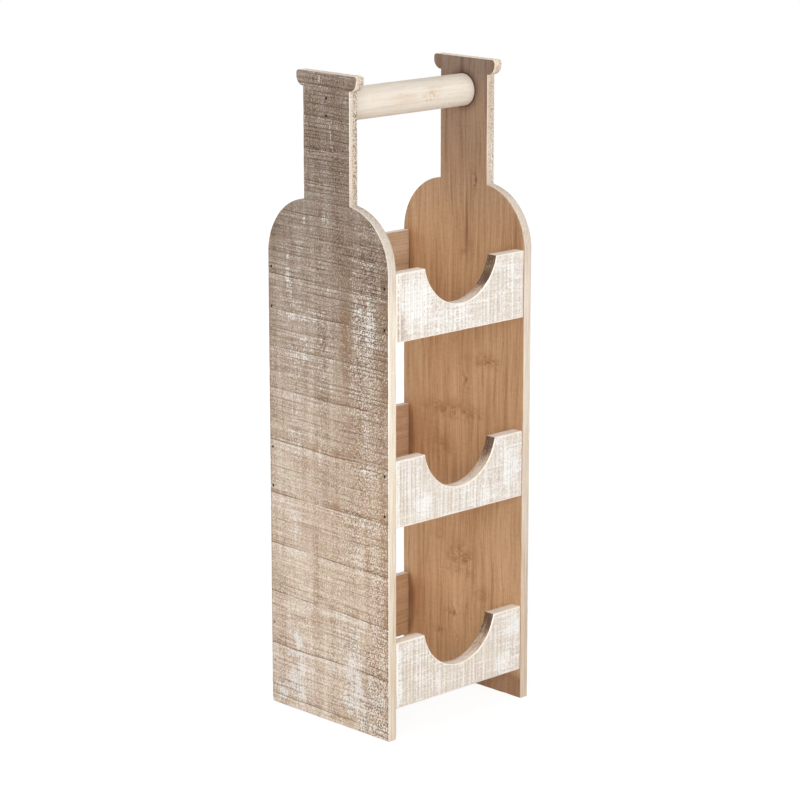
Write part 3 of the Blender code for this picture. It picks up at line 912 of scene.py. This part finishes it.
rightPanel = dict(
    seed=47.9, edge=rightEdgeLook, backArris="inner",
    chips=[(0.474, -0.055, 1, 0.0035, 0.0011), (0.469, -0.0605, 1, 0.003, 0.0012),
           (0.478, -0.049, 1, 0.002, 0.0008), (0.0004, -0.060, 1, 0.004, 0.0006)],
    spots=dict(
        patches=[
            (-46, 398, 12, 24, 0.7), (-40, 365, 8, 10, 0.6), (58, 330, 5, 40, 0.6), (20, 262, 6, 8, 0.6),
            (-20, 214, 18, 10, 0.5), (36, 150, 8, 36, 0.5), (60, 60, 14, 30, 0.75), (-10, 36, 16, 20, 0.7),
            (-62, 24, 12, 14, 0.8), (10, 560, 3, 12, 0.5), (-8, 505, 4, 12, 0.5)],
        stains=[(30, 420, 4, 40, 0.7), (-70, 250, 5, 60, 0.7), (0, 90, 22, 3, 0.6)],
        busy=[(48, 360, 24, 110, 1), (20, 90, 40, 50, 0.6)]),
    planed=dict(
        knots=[(9, 65, 2.6, 2.6, 0.6), (28, 44, 4, 2.6, 0.4), (5, 42, 2.2, 2.4, 0.4), (-28, 88, 4, 6, 0.3),
               (-17, 488, 1.6, 4, 0.7), (-6, 297, 2.2, 3.6, 0.7), (-8, 289, 1.6, 3, 0.4)],
        reds=[(68, 72, 14, 16, 0.7)],
        streaks=[(-5, 442, 2.2, 40, 0.8), (2, 580, 3, 30, 0.7), (-30, 560, 3, 30, 0.4),
                 (34, 380, 1.5, 60, 0.4), (-58, 300, 2, 80, 0.4), (-16, 488, 1.5, 14, 0.6),
                 (22, 520, 3, 40, 0.4), (-68, 430, 2, 30, 0.5)],
        smudges=[(14, 266, 38, 8, 0.9), (2, 124, 20, 18, 0.9), (-32, 320, 16, 6, 0.9), (26, 230, 14, 10, 0.6),
                 (-28, 90, 8, 9, 0.8), (14, 65, 12, 2.5, 0.6), (-6, 318, 8, 6, 0.4), (30, 44, 10, 4, 0.5),
                 (-4, 425, 10, 12, 0.6), (30, 140, 10, 5, 0.4)],
        # the first tone is painted light, lighter below about 240 mm against the shade low between the rails;
        # the others darken the neck
        tones=[(70, 240, (0.86, 0.82, 0.8)), (400, 545, (0.61, 0.65, 0.78)), (555, 592, (0.72, 0.76, 0.84))],
        # painted light: darker towards the front, to even out the shade that falls deeper in the bay
        sides=[(56, -40, (0.8, 0.8, 0.8)), (-56, -76, (0.9, 0.88, 0.9))]))


def dressPanel(side, panel):
    low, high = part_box(f"{side}_side_panel")
    sawnX, inward = (low.x, 1) if side == "left" else (high.x, -1)
    seed = panel["seed"]
    strips = ("sawn", "arris", "arris", None, None, panel["backArris"], panel["backArris"])
    mesh = boardMesh(f"{side}Raw", bottleRows(), bottle, bottle["thickness"], panel["chips"], seed, strips,
                     lambda along, across, depth: (sawnX + inward * depth, across, along))
    # the wood round each brad hole is bruised, apart from the lowest holes
    bruises = []
    for start, end in bradBoxes(f"_{side}_"):
        if start.z > 0.15:
            across, along = (start.y + end.y) / 2 * toMillimetres, (start.z + end.z) / 2 * toMillimetres
            bruises.append((across, along, 1.5, 1.5, 0.8 if start.y < 0 else 0.45))
    saw = {**panelSaw, "seed": seed}
    look = {**panelLook, **panel["spots"], "bruises": bruises}
    edge = sawnEdge(f"{side}PanelEdge", "z", seed + 2, panel["edge"])
    materials = {
        "sawn": sawnFace(f"{side}PanelSawn", "z", saw, look),
        "inner": planedFace(f"{side}PanelPlaned", "z", seed + 1, {**brownLook, **panel["planed"]}),
        "arris": sawnEdge(f"{side}PanelArris", "z", seed + 3, panelArris),
        "edge": edge, "scoop": edge, "hole": holeFinish,
    }
    values = sawValues(saw, panelDepth, (0, 0, 1), (0, 1, 0), (inward, 0, 0))
    dress(f"{side}Panel", f"{side}_side_panel", mesh, panelBoard, values, materials, f"_{side}_", "panel_wood")


dressPanel("left", leftPanel)
dressPanel("right", rightPanel)


# rails; on their sawn faces across is the height above the floor, and along runs from left to right

frontRail = dict(seed=5.4, slot="front_rail_wood", look=makeLook(
    sawnLook,
    dict(groove=(200, 187, 175), wood=(227, 217, 207), ridge=(254, 252, 249), line=(254, 252, 249),
         nickTint=(204, 190, 176), stain=(184, 160, 142), paint=(250, 250, 250), fleck=(255, 254, 252),
         pit=(186, 168, 150)),
    rose=(0.99, 0.965, 0.96), straw=(0.985, 0.985, 0.945), tints=0.9, patchGrain=0.4, fineShare=0.7,
    cutPaint=0.3, stainBare=1.5, bareRange=never, cloudShade=0.1, fibreShade=0.42, laneShade=0.5,
    laneWidth=2.2, laneLength=34, lanePaint=0.36, stepShade=0.04, grit=0.74, lineShare=0.9, nickShare=0.4,
    nickRange=always, nickOver=0.1, nickBreak=(0.4, 1), wash=0.22, paintShare=0.74, flecks=1,
    fleckRange=never, pits=0.08, sides=[(168, 96, (0.965, 0.95, 0.93))],
    patches=[
        (402, -56, 30, 26, 0.9), (380, -20, 16, 30, 0.5), (412, 66, 12, 10, 0.5), (425, -60, 6, 20, 0.5),
        (214, -48, 12, 12, 0.9), (226, 66, 22, 14, 0.75), (212, 30, 12, 34, 0.45), (246, 62, 14, 16, 0.5),
        (244, -54, 12, 10, 0.3), (74, 72, 16, 11, 0.9), (42, 58, 12, 12, 0.85), (44, 74, 20, 8, 0.5),
        (48, -77.5, 24, 4.4, 1.25), (78, -78, 9, 3.6, 1), (80, -72, 8, 6, 0.3)],
    stains=[(380, -77, 15, 7, 1.3), (400, -79, 16, 2.5, 0.9), (376, -70, 5, 4, 0.7), (236, -79, 26, 2, 0.5),
            (90, 62, 2, 8, 0.4)],
    busy=[(400, 10, 40, 80, 0.45), (230, 50, 40, 50, 0.35), (60, -45, 40, 60, 0.2)],
    ribbed=[(60, -48, 36, 34, 0.58), (42, 4, 18, 34, 0.5), (70, 50, 30, 14, 0.35), (236, -66, 30, 17, 0.6),
            (212, -6, 16, 46, 0.45), (236, 60, 30, 16, 0.45), (384, 20, 18, 50, 0.35), (412, 60, 20, 16, 0.35),
            (410, -66, 24, 14, 0.3)]))
backRail = dict(seed=83.6, slot="back_rail_wood", look=makeLook(
    panelLook, dict(groove=(150, 127, 107), wood=(219, 203, 187)), wash=0.26, rim=beyond, tones=[], sides=[],
    patches=[(398, 40, 20, 14, 0.8), (232, -50, 18, 20, 0.8), (222, 30, 10, 16, 0.5), (60, 10, 20, 18, 0.7)],
    stains=[(404, -60, 4, 20, 0.7), (60, 60, 3, 20, 0.6)], busy=[(230, 0, 40, 60, 0.6)]))
railEdgeLook = makeLook(
    {}, dict(deep=(222, 204, 190), wood=(238, 225, 213), pale=(249, 243, 236), speck=(190, 160, 134)),
    torn=0.4, tornRange=never, tornSide=always, tones=[], sides=[])
# darker low down, taking the painted highlight back from the bottom rail's lower arris
railArris = makeLook(railEdgeLook, arrisWearAndHighlight, torn=0.6, sides=[(50, 34, (0.8, 0.78, 0.77))])
scoopLook = makeLook({}, dict(deep=(98, 78, 64), wood=(178, 156, 136), pale=(246, 236, 224)),
                     steep=(39, 28), shallow=(31, 0), lower=(330, 270, -4, 5))
railBrown = makeLook(
    planedLook,
    dict(deep=(196, 157, 124), wood=(218, 183, 150), pale=(232, 200, 168), streak=(146, 108, 80),
         smudge=(166, 124, 94), red=(200, 150, 116), knot=(118, 82, 58)),
    knotPull=5, sides=[(240, 380, (1, 1.09, 1.17)), (190, 90, (1.02, 1.03, 0.98))],
    smudges=[(400, 30, 16, 20, 0.6), (230, 10, 12, 24, 0.6), (70, -40, 14, 22, 0.6)],
    streaks=[(404, 0, 1.5, 40, 0.4), (232, -30, 1.5, 50, 0.5), (66, 30, 2, 40, 0.5)])


def dressRails():
    edge = sawnEdge("railEdge", "x", 3.3, railEdgeLook)
    arris = sawnEdge("railArris", "x", 6.1, railArris)
    scoop = scoopEdge("scoopEdge", scoopLook)
    strips = ("arris", "arris", "arris", None, None, "inner", "inner")
    for place, kind in (("front", frontRail), ("back", backRail)):
        seed = kind["seed"]
        saw = {**railSaw, "seed": seed}
        materials = {"sawn": sawnFace(f"{place}RailSawn", "x", saw, kind["look"]), "edge": edge, "scoop": scoop,
                     "arris": arris, "inner": planedFace(f"{place}RailPlaned", "x", seed + 1, railBrown),
                     "hole": holeFinish}
        for number, row in enumerate(("top", "middle", "bottom")):
            node = f"{place}_rail_{row}"
            low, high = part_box(node)
            sawnY, inward = (low.y, 1) if place == "front" else (high.y, -1)
            mesh = boardMesh(node + "Raw", railRows(high.x - low.x, high.z), rail, high.y - low.y, [],
                             seed + number * 3, strips,
                             lambda along, across, depth: (along, sawnY + inward * depth, across))
            values = sawValues(saw, railDepth, (1, 0, 0), (0, 0, 1), (0, inward, 0))
            dress(f"{place}Rail{row.capitalize()}", node, mesh, railBoard, values, materials,
                  f"_{place}_{row}_", kind["slot"])


dressRails()


# handle

handle = {"sides": 72, "rings": 90, "worn": 0.0008, "seed": 61.0, "dent": 0.00012, "dentAlong": 14,
          "dentAround": 1.2}
handleLook = makeLook(
    planedLook,
    dict(deep=(227, 215, 200), wood=(236, 227, 214), pale=(242, 235, 225), streak=(206, 178, 146),
         smudge=(206, 178, 146), red=(218, 188, 160), knot=(190, 154, 122)),
    # the top of the bar is painted darker, as painted shade
    knotPull=2, sides=[(574, 586, (0.9, 0.88, 0.86))], knots=[(574, 26, 2.5, 5, 0.35)],
    reds=[(572, -10, 6, 20, 0.5)], smudges=[(572, 26, 4, 10, 0.9)],
    streaks=[(566, -20, 1, 30, 0.4), (578, 30, 1.2, 20, 0.4)])


def dressHandle():
    low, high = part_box("handle_dowel")
    radius, middle, length = (high.z - low.z) / 2, (high.z + low.z) / 2, high.x - low.x
    worn, steps, sides = handle["worn"], handle["rings"], handle["sides"]
    # (place along the bar, radius), with rounded ends
    profile = [(worn * (1 - sin(a)), radius - worn * (1 - cos(a))) for a in (pi / 2, pi / 3, pi / 6, 0)]
    inner = [worn + (length - 2 * worn) * i / steps for i in range(1, steps)]
    profile = profile + [(x, radius) for x in inner] + [(length - x, r) for x, r in reversed(profile)]
    rings = []
    for x, size in profile:
        ring = []
        for turn in [2 * pi * s / sides for s in range(sides)]:
            y, z = cos(turn), sin(turn)
            around = handle["dentAround"]
            spot = Vector((x * handle["dentAlong"], y * around, z * around + handle["seed"]))
            r = size - handle["dent"] * (1 + mathutils.noise.noise(spot))
            ring.append((low.x + x, r * y, middle + r * z))
        rings.append(ring)
    wood = planedFace("handleWood", "x", 9.2, handleLook)
    materials = {**{kind: wood for kind in finishes}, "hole": holeFinish}
    smooth = {name: 0.0 for name in railDepth}
    values = sawValues({**railSaw, "seed": 1.0}, smooth, (1, 0, 0), (0, 0, 1), (0, 0, 1))
    dress("handleBar", "handle_dowel", tube("handleRaw", rings), railBoard, values, materials, "brad_handle_",
          "handle_wood")


dressHandle()
bpy.data.objects.remove(cutterObject, do_unlink=True)


# brads keep their CAD shape and get a dull steel

def bradSteel():
    bench = Finish("bradSteel")
    z, y, x = bench.axes()
    grime = bench.noise(x / 0.5, y / 0.5, z / 0.5, 2.0)
    scratch = bench.noise(x / 3, y / 0.1, z / 0.1)
    colour = bench.ramp(grime * 0.7 + scratch * 0.3, (0.3, tint(46, 40, 36)), (0.7, tint(100, 95, 90)))
    colour = bench.mix(z.fade(120, 100), colour, tint(190, 174, 156))
    return bench.close(colour, 0.32 + 0.3 * grime, scratch + grime, 0.00004, metallic=0.9, specular=0.5)


steel = bradSteel()
for item in bpy.data.objects:
    if item.name.startswith("brad_") and item.type == "MESH":
        for slot in item.material_slots:
            slot.material = steel

view = bpy.context.scene.view_settings
view.view_transform = "Standard"
